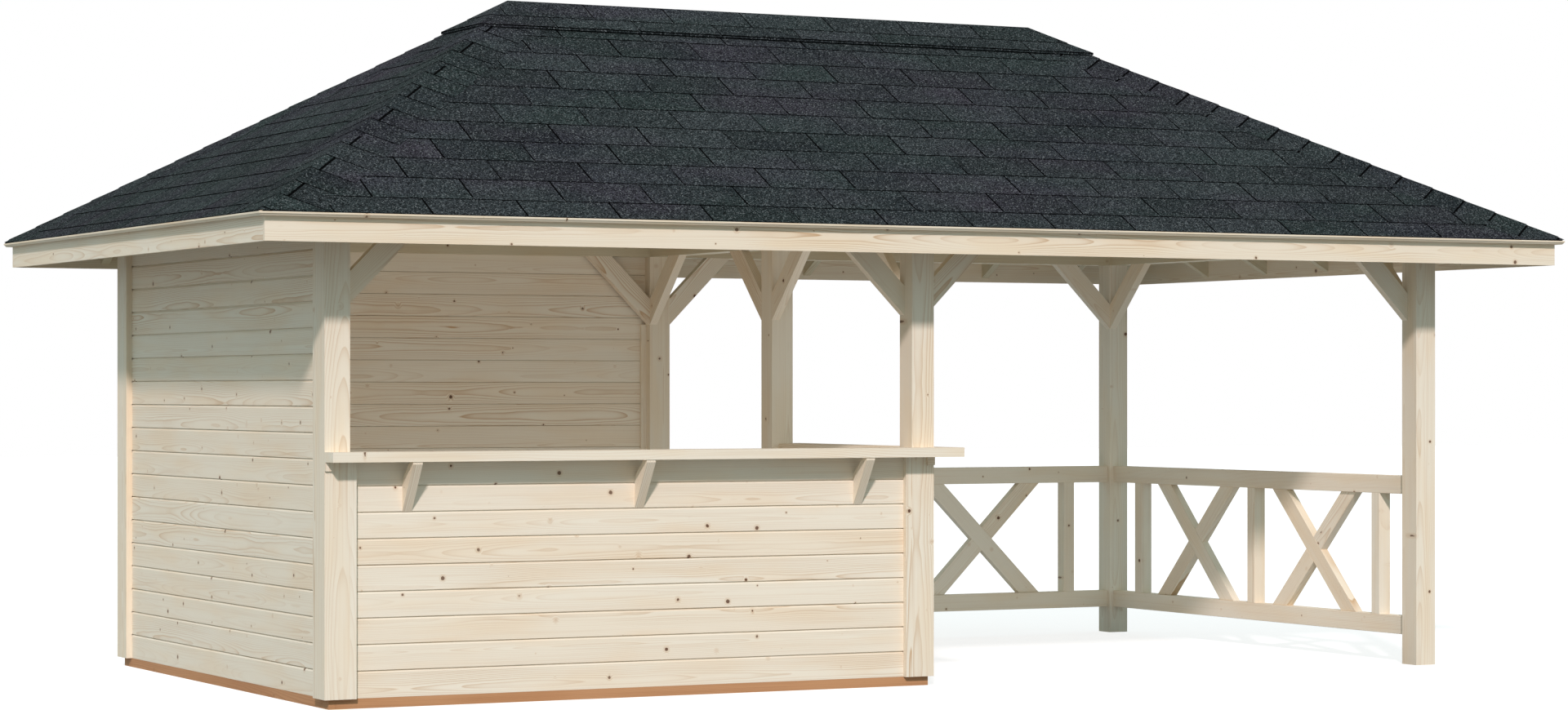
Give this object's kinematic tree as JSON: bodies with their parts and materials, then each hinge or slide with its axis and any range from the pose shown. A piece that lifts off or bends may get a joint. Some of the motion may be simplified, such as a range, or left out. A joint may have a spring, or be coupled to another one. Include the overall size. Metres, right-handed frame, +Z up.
{
  "type": "wooden garden pavilion with a bar bay",
  "caption": "Open timber garden pavilion with a hipped shingle roof, a boarded bar bay with a counter at one end and a railed open bay at the other.",
  "frame": {"origin": "on the ground, under the middle of the roof's plan", "axes": "+X along the building, from the boarded bay to the open bay; the counter's side faces -Y; +Z up"},
  "size_m": [7.014, 3.994, 3.3621],
  "materials": {
    "batten_timber": "planed pale spruce strips",
    "bitumen_shingles": "bitumen felt shingles with dark mineral granules",
    "brace_timber": "planed pale spruce",
    "bracket_timber": "planed pale spruce",
    "counter_timber": "planed pale spruce, square edges",
    "fascia_boards": "planed pale spruce boards",
    "post_timber": "planed pale spruce with small brown knots",
    "railing_timber": "planed pale spruce",
    "roof_boards": "tongue and groove roof boards, pale spruce",
    "roof_frame_timber": "planed pale spruce, in the shade of the roof",
    "treated_base_timber": "pressure treated softwood, warm brown, sawn",
    "wall_boards": "planed tongue and groove spruce boards, bare"
  },
  "bodies": {
    "root": {"back_knee_braces": "brace_timber", "back_left_post": "post_timber", "back_middle_post": "post_timber", "back_railing": "railing_timber", "back_right_post": "post_timber", "back_wall": "wall_boards", "back_wall_battens": "batten_timber", "bar_front_wall": "wall_boards", "bar_side_wall": "wall_boards", "bar_wall_battens": "batten_timber", "base_beams_front_back": "treated_base_timber", "base_beams_left_partition": "treated_base_timber", "counter_brackets": "bracket_timber", "counter_cleats": "bracket_timber", "fascia_front_back": "fascia_boards", "fascia_left_right": "fascia_boards", "front_counter": "counter_timber", "front_knee_braces": "brace_timber", "front_left_post": "post_timber", "front_middle_post": "post_timber", "front_right_post": "post_timber", "hip_rafters": "roof_frame_timber", "left_wall": "wall_boards", "left_wall_battens": "batten_timber", "partition_knee_braces": "brace_timber", "partition_post": "post_timber", "plates_front_back": "roof_frame_timber", "plates_left_middle_right": "roof_frame_timber", "rafters_front_back": "roof_frame_timber", "rafters_left_right": "roof_frame_timber", "ridge_beam": "roof_frame_timber", "ridge_cap": "bitumen_shingles", "ridge_cap_battens": "roof_frame_timber", "right_railing": "railing_timber", "roof_boards_back": "roof_boards", "roof_boards_front": "roof_boards", "roof_boards_left": "roof_boards", "roof_boards_right": "roof_boards", "roofing_back": "bitumen_shingles", "roofing_front": "bitumen_shingles", "roofing_left": "bitumen_shingles", "roofing_right": "bitumen_shingles", "side_counter": "counter_timber", "side_knee_braces": "brace_timber"}
  },
  "joints": []
}
